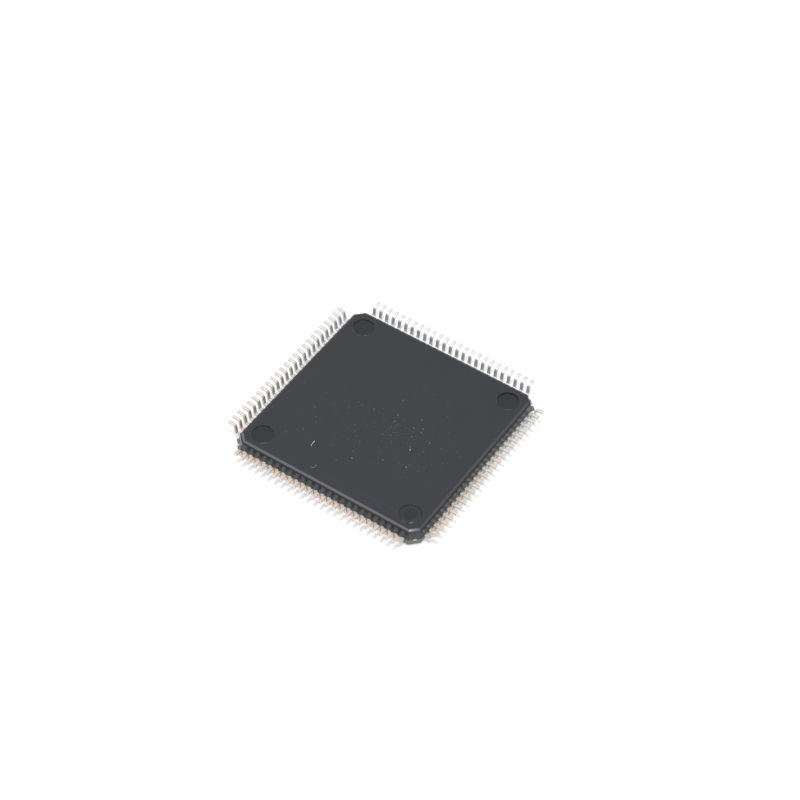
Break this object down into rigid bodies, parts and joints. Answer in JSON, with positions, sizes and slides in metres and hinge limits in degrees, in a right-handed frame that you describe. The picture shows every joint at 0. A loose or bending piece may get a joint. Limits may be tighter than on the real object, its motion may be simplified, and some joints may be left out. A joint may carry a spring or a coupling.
{
  "type": "quad flat pack chip",
  "caption": "Square moulded chip package with gull-wing leads on four sides, lying upside down with its soldering feet up.",
  "frame": {"origin": "on the ground under the centre of the body: the marked face is on z = 0 and the lead feet look up", "axes": "+Z from the marked face to the soldering plane of the feet; +X and +Y run along the rows of leads, towards the right and the back row; the clean corner without resin flash is at +X, -Y"},
  "size_m": [0.016, 0.016, 0.0015],
  "materials": {
    "moulding_compound": "black epoxy moulding compound, finely spark-eroded texture",
    "tinned_lead": "matte tin plating over copper alloy",
    "copper_alloy": "bare stamped copper alloy",
    "silver_glue": "silver-filled epoxy glue",
    "silicon": "polished silicon, opaque",
    "gold_wire": "bare gold wire"
  },
  "bodies": {
    "root": {"package_body": "moulding_compound", "leads_back": "tinned_lead", "leads_left": "tinned_lead", "leads_front": "tinned_lead", "leads_right": "tinned_lead", "die_pad": "copper_alloy", "die_glue": "silver_glue", "silicon_die": "silicon", "bond_wires_back": "gold_wire", "bond_wires_left": "gold_wire", "bond_wires_front": "gold_wire", "bond_wires_right": "gold_wire"}
  },
  "joints": []
}
